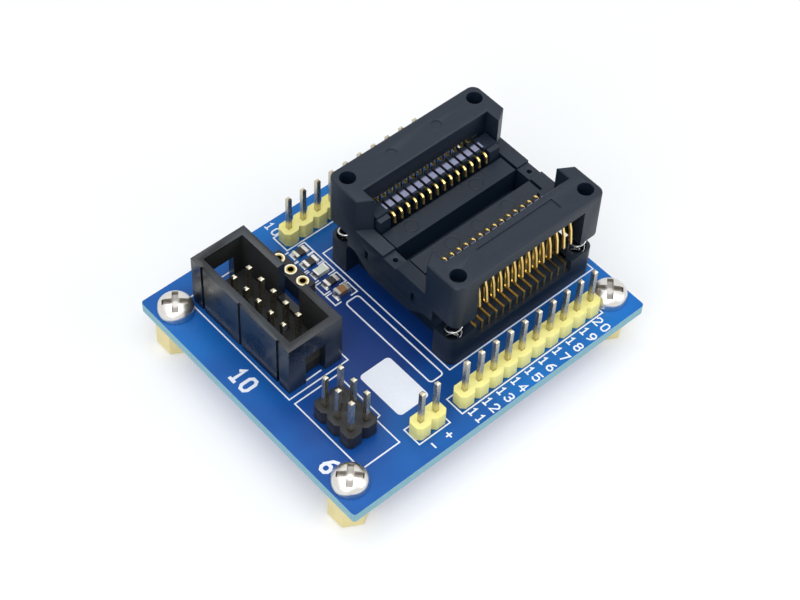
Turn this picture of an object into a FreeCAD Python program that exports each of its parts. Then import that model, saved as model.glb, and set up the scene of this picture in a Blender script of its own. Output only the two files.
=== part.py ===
import FreeCAD, Part
import math
import os
import re

import Sketcher

# Adapter board for programming chips, with a sprung open-top test socket.
# Origin: middle of the board, level with the undersides of its feet.
# X runs along the pin rows, Z points up. All lengths are in millimetres.

sizes = {
    # Circuit board, set out from its left edge and from the front pin row
    "board_thickness": 1.6,
    "board_corner_radius": 0.5,
    "left_margin": 5.65,
    "box_gap": 1.8,
    "strip_gap": 2.15,
    "chip_gap": 1.53,
    "right_margin": 1.17,
    "row_margin": 4.22,
    "front_gap": 3.26,
    "back_gap": 4.2,
    "screw_margin_x": 2.8,
    "screw_margin_y": 4.1,
    "screw_hole_diameter": 3.2,
    # Brass hexagon standoffs, which are the feet
    "standoff_height": 5.0,
    "standoff_across_flats": 5.0,
    "standoff_chamfer": 0.3,
    "thread_diameter": 2.5,
    "thread_gap": 0.05,
    # Pan head screws with a cross recess
    "screw_length": 3.2,
    "head_diameter": 5.0,
    "head_height": 2.1,
    "head_crown": 1.05,
    "cross_span": 2.8,
    "cross_blade": 0.75,
    "cross_depth": 1.2,
    # Square header pins
    "pin_pitch": 2.54,
    "pin_width": 0.64,
    "pin_chamfer": 0.18,
    "pin_tail": 3.0,
    "pin_hole_diameter": 1.0,
    "pin_fit": 0.02,
    # Single row headers
    "header_height": 2.54,
    "header_width": 2.5,
    "header_corner": 0.55,
    "header_pin_height": 8.54,
    "row_pins": 10,
    "row_gap": 0.07,
    "power_pins": 2,
    "power_steps": 3,
    # Six pin header, two columns of three
    "six_shift": 3.05,
    "six_gap": 4.24,
    "six_height": 2.5,
    "six_pin_height": 8.45,
    "six_rows": 3,
    # Ten pin box header, two columns of five
    "box_margin": 4.3,
    "box_length": 20.2,
    "box_width": 8.9,
    "box_height": 8.9,
    "box_wall": 1.2,
    "box_floor": 1.8,
    "box_rows": 5,
    "box_pin_height": 7.46,
    "window_width": 3.3,
    "window_height": 5.5,
    "notch_width": 4.4,
    "notch_floor": 2.6,
    "notch_shift": 0.65,
    "groove_width": 0.5,
    "groove_depth": 0.3,
    "groove_spacing": 7.8,
    # Crystal socket, a strip of turned sleeves
    "sleeve_margin": 7.87,
    "sleeve_count": 3,
    "strip_width": 2.3,
    "strip_height": 2.8,
    "rim_diameter": 1.75,
    "rim_height": 0.2,
    "barrel_width": 1.35,
    "sleeve_bore_diameter": 0.9,
    "sleeve_bore_depth": 2.2,
    "sleeve_tail_width": 0.5,
    "sleeve_tail_length": 2.9,
    # Chip parts soldered beside the socket
    "chip_margin": 7.2,
    "chip_pitch": 2.2,
    "chip_length": 2.0,
    "chip_width": 1.25,
    "resistor_height": 0.55,
    "capacitor_height": 0.85,
    "lamp_height": 0.75,
    "chip_end_length": 0.4,
    "chip_end_thickness": 0.03,
    # Test socket, along its rows of contacts
    "contact_pitch": 1.27,
    "contact_count": 14,
    "tower_gap": 0.495,
    "tower_reach": 4.745,
    "cheek_gap": 0.695,
    "leg_setback": 0.65,
    "cover_overhang_x": 0.15,
    "bar_thickness": 2.1,
    "cover_gap": 0.3,
    # Test socket, across its rows, from the middle outwards
    "trench_width": 2.6,
    "ridge_width": 2.95,
    "trough_width": 1.15,
    "comb_thickness": 2.1,
    "foot_setback": 0.7,
    "prong_setback": 0.8,
    "prong_width": 0.36,
    "prong_gap": 0.56,
    "toe": 1.37,
    "band_reach": 0.7,
    "cover_overhang_y": 0.45,
    "tower_setback": 0.55,
    "bar_side_gap": 0.35,
    "rail_setback": 0.33,
    "cheek_inset": 0.35,
    "cheek_setback": 0.5,
    # Test socket base, heights above the board
    "band_height": 2.9,
    "shelf_rise": 1.5,
    "tower_rise": 0.6,
    "comb_drop": 0.3,
    "lip_clearance": 2.5,
    "arm_slot_depth": 4.1,
    "seat_rise": 1.8,
    "trench_depth": 4.0,
    "cheek_drop": 0.4,
    "tower_corner_radius": 1.2,
    "contact_slot": 0.42,
    # Test socket cover
    "rail_plate": 1.5,
    "rail_lip": 0.78,
    "rail_lip_depth": 1.8,
    "leg_height": 8.0,
    "cover_corner_radius": 1.3,
    "cover_edge_chamfer": 0.2,
    "ear_width": 2.3,
    "ear_chamfer": 1.3,
    "bar_rise": 2.1,
    "bar_strip": 0.4,
    "bar_end_depth": 2.1,
    "bar_middle_depth": 4.2,
    "bar_middle_width": 7.6,
    "bar_slope": 3.1,
    "bar_hole_diameter": 0.7,
    "bar_hole_depth": 1.2,
    "bar_slot_width": 0.6,
    "bar_slot_height": 1.7,
    "bar_slot_drop": 1.7,
    "bar_slot_spacing": 9.1,
    "rail_hole_diameter": 2.3,
    "rail_hole_depth": 2.5,
    "panel_length": 13.4,
    "panel_width": 1.9,
    "panel_depth": 0.15,
    "panel_inset": 1.9,
    "mark_diameter": 1.5,
    "mark_depth": 0.1,
    "mark_spacing": 8.0,
    # Coil springs between base and cover
    "spring_inset_x": 1.7,
    "spring_inset_y": 1.65,
    "spring_diameter": 2.5,
    "spring_wire": 0.3,
    "spring_pitch": 1.58,
    "spring_gap": 0.02,
    "base_pocket_depth": 2.4,
    "cover_pocket_depth": 4.0,
    "pocket_diameter": 2.75,
    # Stamped contacts
    "contact_thickness": 0.34,
    "contact_play": 0.05,
    "contact_proud": 0.1,
    "tail_width": 0.5,
    "tail_length": 2.8,
    "tail_hole_diameter": 0.75,
    "tail_setback": 0.2,
    "tail_inset": 0.75,
    "prong_height": 8.4,
    "prong_end_rise": 2.0,
    "head_rise": 1.95,
    "head_shift": 0.4,
    "head_overhang": 0.3,
    "arm_drop": 0.65,
    "arm_width": 0.42,
    "arm_bend": 0.75,
    "tip_gap": 0.11,
    "tip_width": 0.3,
    "tip_lift": 0.3,
}

# Lengths and places that follow from the sizes
worked_out = {
    # Test socket, along X
    "row_length": "(contact_count - 1) * contact_pitch",
    "tower_inner_x": "row_length / 2 + tower_gap",
    "base_length": "row_length + 2 * tower_reach",
    "cover_length": "base_length + 2 * cover_overhang_x",
    "core_length": "cover_length - 2 * bar_thickness - 2 * cover_gap",
    "leg_inner_x": "tower_inner_x + leg_setback",
    "bar_inner_x": "cover_length / 2 - bar_thickness",
    "spring_x": "base_length / 2 - spring_inset_x",
    # Test socket, distances from its middle across the rows
    "seat_side": "trench_width / 2 + ridge_width",
    "comb_inner": "seat_side + trough_width",
    "comb_outer": "comb_inner + comb_thickness",
    "foot_inner": "comb_outer + foot_setback",
    "prong_inner": "foot_inner + prong_setback",
    "prong_outer": "prong_inner + prong_width + prong_gap",
    "shelf_side": "prong_outer + prong_width + toe",
    "base_side": "shelf_side + band_reach",
    "cover_side": "base_side + cover_overhang_y",
    "tower_inner_y": "foot_inner + tower_setback",
    "rib_outer": "prong_inner - contact_play",
    "rail_inner": "foot_inner - rail_setback",
    "ear_inner": "rail_inner - ear_width",
    "bar_side": "tower_inner_y - bar_side_gap",
    "spring_y": "base_side - spring_inset_y",
    "tail_near": "prong_inner + tail_setback",
    "tail_far": "shelf_side - tail_inset",
    # Test socket, heights above the board
    "shelf_top": "band_height + shelf_rise",
    "foot_top": "shelf_top + contact_proud",
    "tower_top": "shelf_top + tower_rise",
    "fork_height": "foot_top + prong_height",
    "head_top": "fork_height + head_rise",
    "arm_top": "fork_height - arm_drop",
    "comb_top": "fork_height - comb_drop",
    "cheek_top": "comb_top - cheek_drop",
    "trough_floor": "comb_top - arm_slot_depth",
    "seat_top": "trough_floor + seat_rise",
    "trench_floor": "seat_top - trench_depth",
    "plate_bottom": "head_top + contact_play",
    "cover_top": "plate_bottom + rail_plate",
    "lip_bottom": "plate_bottom - rail_lip_depth",
    "rib_top": "lip_bottom - lip_clearance",
    "leg_bottom": "cover_top - leg_height",
    "bar_top": "leg_bottom + bar_rise",
    "spring_floor": "tower_top - base_pocket_depth",
    "spring_roof": "leg_bottom + cover_pocket_depth",
    # Board, and what stands on it
    "board_length": "left_margin + box_width + box_gap + strip_width + strip_gap"
                    " + chip_length + chip_gap + cover_length + right_margin",
    "row_spacing": "header_width + front_gap + 2 * cover_side + back_gap",
    "board_width": "row_spacing + 2 * row_margin",
    "board_top": "standoff_height + board_thickness",
    "free_thread": "board_top - screw_length",
    "screw_x": "board_length / 2 - screw_margin_x",
    "screw_y": "board_width / 2 - screw_margin_y",
    "socket_x": "board_length / 2 - right_margin - cover_length / 2",
    "socket_y": "header_width / 2 + front_gap + cover_side - row_spacing / 2",
    "row_last_x": "screw_x - head_diameter / 2 - row_gap - pin_pitch / 2",
    "row_first_x": "row_last_x - (row_pins - 1) * pin_pitch",
    "power_first_x": "row_first_x - power_steps * pin_pitch",
    "box_x": "left_margin + box_width / 2 - board_length / 2",
    "box_y": "board_width / 2 - box_margin - box_length / 2",
    "box_pin_x": "box_x - pin_pitch / 2",
    "box_pin_y": "box_y - (box_rows - 1) * pin_pitch / 2",
    "six_x": "box_x - six_shift",
    "six_y": "box_y - box_length / 2 - six_gap - (six_rows - 0.5) * pin_pitch",
    "sleeve_x": "box_x + box_width / 2 + box_gap + strip_width / 2",
    "sleeve_y": "board_width / 2 - sleeve_margin - (sleeve_count - 1) * pin_pitch",
    "chip_x": "sleeve_x + strip_width / 2 + strip_gap + chip_length / 2",
    "chip_y": "board_width / 2 - chip_margin",
}

doc = FreeCAD.newDocument("programming_adapter")
sheet = doc.addObject("Spreadsheet::Sheet", "sizes")
for row, (name, number) in enumerate(sizes.items(), start=1):
    sheet.set(f"A{row}", name)
    sheet.set(f"B{row}", str(number))
    sheet.setAlias(f"B{row}", name)
doc.recompute()

subparts = []
socket_place = ("socket_x", "socket_y", "board_top")


def link(formula):
    """Spell out what is worked out, and point each size at its cell in the sheet."""
    def replace(word):
        name = word.group()
        if name in worked_out:
            return f"({link(worked_out[name])})"
        return f"sizes.{name}" if name in sizes else name

    return re.sub("[a-z_]+", replace, str(formula))


def amount(formula):
    """The present value of a formula of sizes."""
    return float(sheet.evalExpression(link(formula)))


def put(thing, place):
    """Bind the three coordinates of an object's place to the sheet."""
    for axis, formula in zip("xyz", place):
        thing.setExpression(f"Placement.Base.{axis}", link(formula))


def new_body(name, place=("0", "0", "0"), several=False):
    """A sub-part modelled from sketches; several lets it hold separate solids."""
    body = doc.addObject("PartDesign::Body", name)
    body.Label = name
    body.AllowCompound = several
    put(body, place)
    subparts.append(body)
    return body


def origin_feature(body, role):
    """One of a body's own origin planes or axes."""
    return [item for item in body.Origin.OriginFeatures if item.Role == role][0]


def fix_point(plan, piece, end, x, y):
    """Fix one point of a sketch by its two coordinates."""
    for kind, formula in (("DistanceX", x), ("DistanceY", y)):
        number = plan.addConstraint(
            Sketcher.Constraint(kind, -1, 1, piece, end, amount(formula)))
        plan.setExpression(f"Constraints[{number}]", link(formula))


def sketch(body, name, plane, offset="0", outlines=(), circles=()):
    """A sketch of closed outlines and circles, every point bound to the sheet."""
    plan = body.newObject("Sketcher::SketchObject", name)
    plan.AttachmentSupport = [(origin_feature(body, plane), "")]
    plan.MapMode = "FlatFace"
    plan.setExpression("AttachmentOffset.Base.z", link(offset))
    for outline in outlines:
        corners = [FreeCAD.Vector(amount(x), amount(y), 0) for x, y in outline]
        first = plan.GeometryCount
        count = len(corners)
        for index in range(count):
            plan.addGeometry(Part.LineSegment(corners[index], corners[(index + 1) % count]))
        for index in range(count):
            plan.addConstraint(Sketcher.Constraint(
                "Coincident", first + index, 2, first + (index + 1) % count, 1))
        for index, (x, y) in enumerate(outline):
            fix_point(plan, first + index, 1, x, y)
    for x, y, diameter in circles:
        middle = FreeCAD.Vector(amount(x), amount(y), 0)
        radius = amount(diameter) / 2
        piece = plan.addGeometry(Part.Circle(middle, FreeCAD.Vector(0, 0, 1), radius))
        fix_point(plan, piece, 3, x, y)
        number = plan.addConstraint(Sketcher.Constraint("Diameter", piece, 2 * radius))
        plan.setExpression(f"Constraints[{number}]", link(diameter))
    return plan


def block(left, right, low, high):
    """The four corners of a rectangle."""
    return [(left, low), (right, low), (right, high), (left, high)]


def centred(width, depth):
    """The four corners of a rectangle round the sketch's origin."""
    return block(f"-({width}) / 2", f"({width}) / 2", f"-({depth}) / 2", f"({depth}) / 2")


def extrude(body, kind, name, plan, length, symmetric=False):
    """Pad or pocket a sketch by a length, to one side or evenly to both."""
    feature = body.newObject(f"PartDesign::{kind}", name)
    feature.Profile = plan
    if symmetric:
        feature.SideType = "Symmetric"
    feature.setExpression("Length", link(length))
    body.Tip = feature
    doc.recompute()
    return feature


def pad(body, name, plan, length, symmetric=False):
    return extrude(body, "Pad", name, plan, length, symmetric)


def pocket(body, name, plan, length, symmetric=False):
    """Cut a sketch out of the body, and make sure that it did cut."""
    before = body.Shape.Volume
    feature = extrude(body, "Pocket", name, plan, length, symmetric)
    if body.Shape.Volume > before - 1e-6:
        raise RuntimeError(f"{body.Label}: {name} cuts nothing")
    return feature


def edges_where(body, wanted):
    """Names of the edges of the body's last feature for which wanted says yes."""
    edges = enumerate(body.Tip.Shape.Edges, start=1)
    return [f"Edge{number}" for number, edge in edges if wanted(edge)]


def close(one, other):
    """Whether two lengths are the same, but for rounding."""
    return math.isclose(one, other, abs_tol=1e-6)


def upright(edge):
    """Whether an edge is a straight line along Z."""
    return close(edge.BoundBox.XLength, 0) and close(edge.BoundBox.YLength, 0)


def level(height):
    """A test for edges that lie flat at one height of a body."""
    return lambda edge: close(edge.BoundBox.ZMin, height) and close(edge.BoundBox.ZMax, height)


def dress(body, kind, name, names, size):
    """Fillet or chamfer named edges of the body's last feature."""
    base = body.Tip
    feature = body.newObject(f"PartDesign::{kind}", name)
    feature.Base = (base, names)
    feature.setExpression("Radius" if kind == "Fillet" else "Size", link(size))
    body.Tip = feature
    doc.recompute()
    return feature


def repeat(body, name, axis, count, pitch, features=()):
    """Repeat features, or the whole body if none are named, along one axis."""
    pattern = body.newObject("PartDesign::LinearPattern", name)
    if features:
        pattern.Originals = list(features)
    else:
        pattern.TransformMode = "Whole shape"
    pattern.Direction = (origin_feature(body, axis), [""])
    pattern.Mode = "Spacing"
    pattern.setExpression("Offset", link(pitch))
    pattern.setExpression("Occurrences", link(count))
    body.Tip = pattern
    doc.recompute()
    return pattern


def octagon(x, y, across):
    """The eight corners of a small hole, given across its flats."""
    half = f"{across} / 2"
    short = f"{across} / 2 * tan(22.5)"
    return [
        (f"{x} {a} {first}", f"{y} {b} {second}")
        for a, first, b, second in (
            ("-", short, "-", half), ("+", short, "-", half),
            ("+", half, "-", short), ("+", half, "+", short),
            ("+", short, "+", half), ("-", short, "+", half),
            ("-", half, "+", short), ("-", half, "-", short),
        )
    ]


def round_outline(diameter, sides, x="0", y="0"):
    """A many-sided outline that stands in for a circle where few facets are wanted."""
    return [
        (f"{x} + {diameter} / 2 * cos({360 * side / sides})",
         f"{y} + {diameter} / 2 * sin({360 * side / sides})")
        for side in range(sides)
    ]


def corner_signs():
    """Left or right with front or back, counter-clockwise from the left front."""
    return [(-1, -1), (1, -1), (1, 1), (-1, 1)]


def circuit_board():
    """Laminate with four screw holes and a drilled hole for every pin."""
    body = new_body("circuit_board", ("0", "0", "standoff_height"))
    outline = sketch(body, "BoardOutline", "XY_Plane",
                     outlines=[centred("board_length", "board_width")])
    pad(body, "Laminate", outline, "board_thickness")
    dress(body, "Fillet", "BoardCorners", edges_where(body, upright), "board_corner_radius")
    holes = [(f"{right} * screw_x", f"{back} * screw_y", "screw_hole_diameter")
             for right, back in corner_signs()]
    drilling = sketch(body, "ScrewHolePlan", "XY_Plane", "board_thickness", circles=holes)
    pocket(body, "ScrewHoles", drilling, "board_thickness")
    drill(body, "RowHole", "X_Axis", "row_pins",
          [("row_first_x", "-row_spacing / 2"), ("row_first_x", "row_spacing / 2")])
    drill(body, "PowerHole", "X_Axis", "power_pins", [("power_first_x", "-row_spacing / 2")])
    drill(body, "SixHole", "Y_Axis", "six_rows", [("six_x", "six_y"),
                                                  ("six_x + pin_pitch", "six_y")])
    drill(body, "BoxHole", "Y_Axis", "box_rows", [("box_pin_x", "box_pin_y"),
                                                  ("box_pin_x + pin_pitch", "box_pin_y")])
    drill(body, "SleeveHole", "Y_Axis", "sleeve_count", [("sleeve_x", "sleeve_y")])
    first = "socket_x - row_length / 2"
    tails = [
        (x, f"socket_y {sign} {tail}")
        for x, tail in ((first, "tail_near"), (f"{first} + contact_pitch", "tail_far"))
        for sign in ("-", "+")
    ]
    drill(body, "TailHole", "X_Axis", "contact_count / 2", tails, "2 * contact_pitch",
          "tail_hole_diameter")


def drill(body, name, axis, count, places, pitch="pin_pitch", across="pin_hole_diameter"):
    """Rows of small eight-sided holes through the board, from the first ones' places."""
    plan = sketch(body, f"{name}Plan", "XY_Plane", "board_thickness",
                  outlines=[octagon(x, y, across) for x, y in places])
    hole = pocket(body, name, plan, "board_thickness")
    repeat(body, f"{name}s", axis, count, pitch, [hole])


def standoff(number, x, y):
    """Hexagon standoff with a tapped bore."""
    body = new_body(f"standoff_{number}", (x, y, "0"))
    corner = "standoff_across_flats / 2 / cos(30)"
    hexagon = [
        (f"({corner}) * cos({angle})", f"({corner}) * sin({angle})")
        for angle in range(30, 390, 60)
    ]
    outline = sketch(body, "Hexagon", "XY_Plane", outlines=[hexagon])
    pad(body, "HexagonBar", outline, "standoff_height")
    ends = edges_where(body, lambda edge: not upright(edge))
    dress(body, "Chamfer", "EndChamfer", ends, "standoff_chamfer")
    # The screw fills the upper part, so the lower part is the free thread
    upper = sketch(body, "UpperBore", "XY_Plane", "standoff_height",
                   outlines=[round_outline("(thread_diameter + 2 * thread_gap)", 12)])
    pocket(body, "ScrewedBore", upper, "standoff_height - free_thread")
    lower = sketch(body, "LowerBore", "XY_Plane", "free_thread",
                   circles=[("0", "0", "thread_diameter + 2 * thread_gap")])
    pocket(body, "FreeBore", lower, "free_thread")


def screw(number, x, y):
    """Pan head screw; the shank has plain flats in place of a thread."""
    body = new_body(f"screw_{number}", (x, y, "board_top"))
    pad(body, "Head", sketch(body, "HeadOutline", "XY_Plane",
                             outlines=[round_outline("head_diameter", 24)]), "head_height")
    crown = edges_where(body, level(amount("head_height")))
    dress(body, "Chamfer", "HeadCrown", crown, "head_crown")
    pad(body, "Shank", sketch(body, "ShankOutline", "XY_Plane", "-screw_length",
                              outlines=[round_outline("thread_diameter", 12)]), "screw_length")
    half_span = "cross_span / 2"
    half_blade = "cross_blade / 2"
    cross = [
        (f"-{half_span}", f"-{half_blade}"), (f"-{half_blade}", f"-{half_blade}"),
        (f"-{half_blade}", f"-{half_span}"), (half_blade, f"-{half_span}"),
        (half_blade, f"-{half_blade}"), (half_span, f"-{half_blade}"),
        (half_span, half_blade), (half_blade, half_blade),
        (half_blade, half_span), (f"-{half_blade}", half_span),
        (f"-{half_blade}", half_blade), (f"-{half_span}", half_blade),
    ]
    recess = sketch(body, "Cross", "XY_Plane", "head_height", outlines=[cross])
    pocket(body, "CrossRecess", recess, "cross_depth")


def spread(body, name, columns, rows):
    """Repeat a whole body on the pin grid."""
    for axis, count in (("X_Axis", columns), ("Y_Axis", rows)):
        if amount(count) > 1:
            repeat(body, f"{name}Along{axis[0]}", axis, count, "pin_pitch")


def header(name, place, columns, rows, height, pin_height):
    """A moulding of eight-sided cells and its square pins, each a node of its own."""
    moulding = new_body(f"{name}_body", place)
    across = "pin_pitch / 2"
    deep = "pin_pitch / 2" if amount(rows) > 1 else "header_width / 2"
    cut = "header_corner"
    cell = [
        (f"-{across} + {cut}", f"-{deep}"), (f"{across} - {cut}", f"-{deep}"),
        (across, f"-{deep} + {cut}"), (across, f"{deep} - {cut}"),
        (f"{across} - {cut}", deep), (f"-{across} + {cut}", deep),
        (f"-{across}", f"{deep} - {cut}"), (f"-{across}", f"-{deep} + {cut}"),
    ]
    pad(moulding, "Cell", sketch(moulding, "CellOutline", "XY_Plane", outlines=[cell]), height)
    seat = sketch(moulding, "PinSeat", "XY_Plane", height,
                  outlines=[centred("pin_width + 2 * pin_fit", "pin_width + 2 * pin_fit")])
    pocket(moulding, "PinHole", seat, height)
    spread(moulding, "Cells", columns, rows)
    pins(name, place, columns, rows, pin_height)


def pins(name, place, columns, rows, pin_height):
    """Square pins with chamfered ends, standing in the board."""
    body = new_body(f"{name}_pins", place, several=True)
    section = sketch(body, "PinSection", "XY_Plane", "-pin_tail",
                     outlines=[centred("pin_width", "pin_width")])
    pad(body, "Pin", section, f"pin_tail + {pin_height}")
    tips = edges_where(body, level(amount(pin_height)))
    dress(body, "Chamfer", "PinPoints", tips, "pin_chamfer")
    spread(body, "Pins", columns, rows)


def box_header():
    """Shrouded header: a deep tray with a keyed side, end windows and ten pins."""
    body = new_body("box_header_shroud", ("box_x", "box_y", "board_top"))
    pad(body, "Tray", sketch(body, "TrayOutline", "XY_Plane",
                             outlines=[centred("box_width", "box_length")]), "box_height")
    inside = centred("box_width - 2 * box_wall", "box_length - 2 * box_wall")
    pocket(body, "Cavity", sketch(body, "CavityOutline", "XY_Plane", "box_height",
                                  outlines=[inside]), "box_height - box_floor")
    notch = block("box_width / 2 - 1.5 * box_wall", "box_width / 2 + box_wall",
                  "-notch_shift - notch_width / 2", "notch_width / 2 - notch_shift")
    pocket(body, "KeyNotch", sketch(body, "KeyNotchOutline", "XY_Plane", "box_height",
                                    outlines=[notch]), "box_height - notch_floor")
    window = block("-window_width / 2", "window_width / 2", "0", "window_height")
    windows = sketch(body, "WindowOutline", "XZ_Plane", outlines=[window])
    pocket(body, "EndWindows", windows, "box_length + box_wall", symmetric=True)
    floor = centred("window_width", "box_length - 2 * box_wall")
    pad(body, "Floor", sketch(body, "FloorOutline", "XY_Plane", outlines=[floor]), "box_floor")
    grooves = [
        block("-box_width / 2 - groove_depth", "groove_depth - box_width / 2",
              f"{step} * groove_spacing - groove_width / 2",
              f"{step} * groove_spacing + groove_width / 2")
        for step in (-1, 0, 1)
    ]
    pocket(body, "SideGrooves", sketch(body, "GrooveOutlines", "XY_Plane", "box_height",
                                       outlines=grooves), "box_height")
    across = "(pin_width + 2 * pin_fit) / 2"
    first = "(box_rows - 1) * pin_pitch / 2"
    holes = [
        pocket(body, f"{name}PinHole",
               sketch(body, f"{name}PinSeat", "XY_Plane", "box_floor",
                      outlines=[block(f"{x} - {across}", f"{x} + {across}",
                                      f"-{first} - {across}", f"{across} - {first}")]),
               "box_floor")
        for name, x in (("Left", "-pin_pitch / 2"), ("Right", "pin_pitch / 2"))
    ]
    repeat(body, "PinHoles", "Y_Axis", "box_rows", "pin_pitch", holes)
    pins("box_header", ("box_pin_x", "box_pin_y", "board_top"), "2", "box_rows",
         "box_pin_height")


def crystal_socket():
    """Three sleeves with round rims and bores in a moulded strip."""
    place = ("sleeve_x", "sleeve_y", "board_top")
    strip = new_body("crystal_socket_body", place)
    cell = centred("strip_width", "pin_pitch")
    pad(strip, "Cell", sketch(strip, "CellOutline", "XY_Plane", outlines=[cell]), "strip_height")
    seat = octagon("0", "0", "(barrel_width + 2 * pin_fit)")
    pocket(strip, "SleeveSeat", sketch(strip, "SleeveSeatOutline", "XY_Plane", "strip_height",
                                       outlines=[seat]), "strip_height")
    repeat(strip, "Cells", "Y_Axis", "sleeve_count", "pin_pitch")
    sleeves = new_body("crystal_socket_sleeves", place, several=True)
    tail = octagon("0", "0", "sleeve_tail_width")
    pad(sleeves, "Tail", sketch(sleeves, "TailOutline", "XY_Plane", "-sleeve_tail_length",
                                outlines=[tail]), "sleeve_tail_length + barrel_width / 4")
    barrel = octagon("0", "0", "barrel_width")
    pad(sleeves, "Barrel", sketch(sleeves, "BarrelOutline", "XY_Plane", outlines=[barrel]),
        "strip_height")
    pad(sleeves, "Rim", sketch(sleeves, "RimOutline", "XY_Plane", "strip_height",
                               outlines=[round_outline("rim_diameter", 16)]), "rim_height")
    pocket(sleeves, "Bore", sketch(sleeves, "BoreOutline", "XY_Plane",
                                   "strip_height + rim_height",
                                   outlines=[round_outline("sleeve_bore_diameter", 12)]),
           "sleeve_bore_depth")
    repeat(sleeves, "Sleeves", "Y_Axis", "sleeve_count", "pin_pitch")


def chip_part(name, index, height):
    """A ceramic chip with its two metal ends, lying along X."""
    body = new_body(name, ("chip_x", f"chip_y - {index} * chip_pitch", "board_top"))
    pad(body, "Ceramic", sketch(body, "CeramicOutline", "XY_Plane", "chip_end_thickness",
                                outlines=[centred("chip_length - 2 * chip_end_thickness",
                                                  "chip_width - 2 * chip_end_thickness")]),
        f"{height} - 2 * chip_end_thickness")
    ends = [
        block("-chip_length / 2", "chip_end_length - chip_length / 2",
              "-chip_width / 2", "chip_width / 2"),
        block("chip_length / 2 - chip_end_length", "chip_length / 2",
              "-chip_width / 2", "chip_width / 2"),
    ]
    pad(body, "MetalEnds", sketch(body, "EndOutlines", "XY_Plane", outlines=ends), height)


def mirrored(half_outline):
    """A symmetric outline from its right half, given from the bottom up and inwards."""
    return half_outline + [(f"-({x})", y) for x, y in reversed(half_outline)]


def in_corners(near_x, far_x, near_y, far_y):
    """The same rectangle in all four corners, given by its distances from the middle."""
    return [
        [(f"{right} * ({x})", f"{back} * ({y})")
         for x, y in ((near_x, near_y), (far_x, near_y), (far_x, far_y), (near_x, far_y))]
        for right, back in corner_signs()
    ]


def socket_base():
    """Moulded base: a drawn-out section with combs, then corner towers and slots."""
    body = new_body("socket_base", socket_place)
    section = mirrored([
        ("base_side", "0"),
        ("base_side", "band_height"),
        ("shelf_side", "band_height"),
        ("shelf_side", "shelf_top"),
        ("comb_outer", "shelf_top"),
        ("comb_outer", "comb_top"),
        ("comb_inner", "comb_top"),
        ("comb_inner", "trough_floor"),
        ("seat_side", "trough_floor"),
        ("seat_side", "seat_top"),
        ("trench_width / 2", "seat_top"),
        ("trench_width / 2", "trench_floor"),
    ])
    pad(body, "Section", sketch(body, "SectionOutline", "YZ_Plane", outlines=[section]),
        "core_length", symmetric=True)
    towers = in_corners("tower_inner_x", "base_length / 2", "tower_inner_y", "base_side")
    pad(body, "Towers", sketch(body, "TowerOutlines", "XY_Plane", outlines=towers), "tower_top")
    end = amount("base_length / 2")
    side = amount("base_side")
    corners = edges_where(body, lambda edge: upright(edge)
                          and close(abs(edge.BoundBox.XMin), end)
                          and close(abs(edge.BoundBox.YMin), side))
    dress(body, "Fillet", "TowerCorners", corners, "tower_corner_radius")
    cheeks = in_corners("row_length / 2 + cheek_gap", "core_length / 2",
                        "seat_side + cheek_inset", "comb_outer - cheek_setback")
    pad(body, "Cheeks", sketch(body, "CheekOutlines", "XY_Plane", outlines=cheeks), "cheek_top")
    # Low ribs part the contacts under the cover's lips, between its legs
    rib_end = "leg_inner_x - cover_gap"
    ribs = [block(f"-({rib_end})", rib_end, "-rib_outer", "-comb_inner"),
            block(f"-({rib_end})", rib_end, "comb_inner", "rib_outer")]
    pad(body, "Ribs", sketch(body, "RibOutlines", "XY_Plane", outlines=ribs), "rib_top")
    pocket(body, "SpringPockets",
           sketch(body, "SpringPocketPlan", "XY_Plane", "tower_top",
                  outlines=spring_outlines("pocket_diameter")),
           "base_pocket_depth")
    left = "-row_length / 2 - contact_slot / 2"
    right = "contact_slot / 2 - row_length / 2"
    foot_plan = [block(left, right, "-shelf_side", "-foot_inner"),
                 block(left, right, "foot_inner", "shelf_side")]
    foot = pocket(body, "FootSlots", sketch(body, "FootSlotPlan", "XY_Plane", "rib_top",
                                            outlines=foot_plan), "rib_top")
    inner = "comb_inner - trough_width / 2"
    outer = "rib_outer + contact_play"
    arm_plan = [block(left, right, f"-({outer})", f"-({inner})"),
                block(left, right, inner, outer)]
    arm = pocket(body, "ArmSlots", sketch(body, "ArmSlotPlan", "XY_Plane", "comb_top",
                                          outlines=arm_plan), "arm_slot_depth")
    repeat(body, "ContactSlots", "X_Axis", "contact_count", "contact_pitch", [foot, arm])


def spring_outlines(diameter):
    """An outline round each of the four springs."""
    return [round_outline(diameter, 18, f"{right} * spring_x", f"{back} * spring_y")
            for right, back in corner_signs()]


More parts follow.
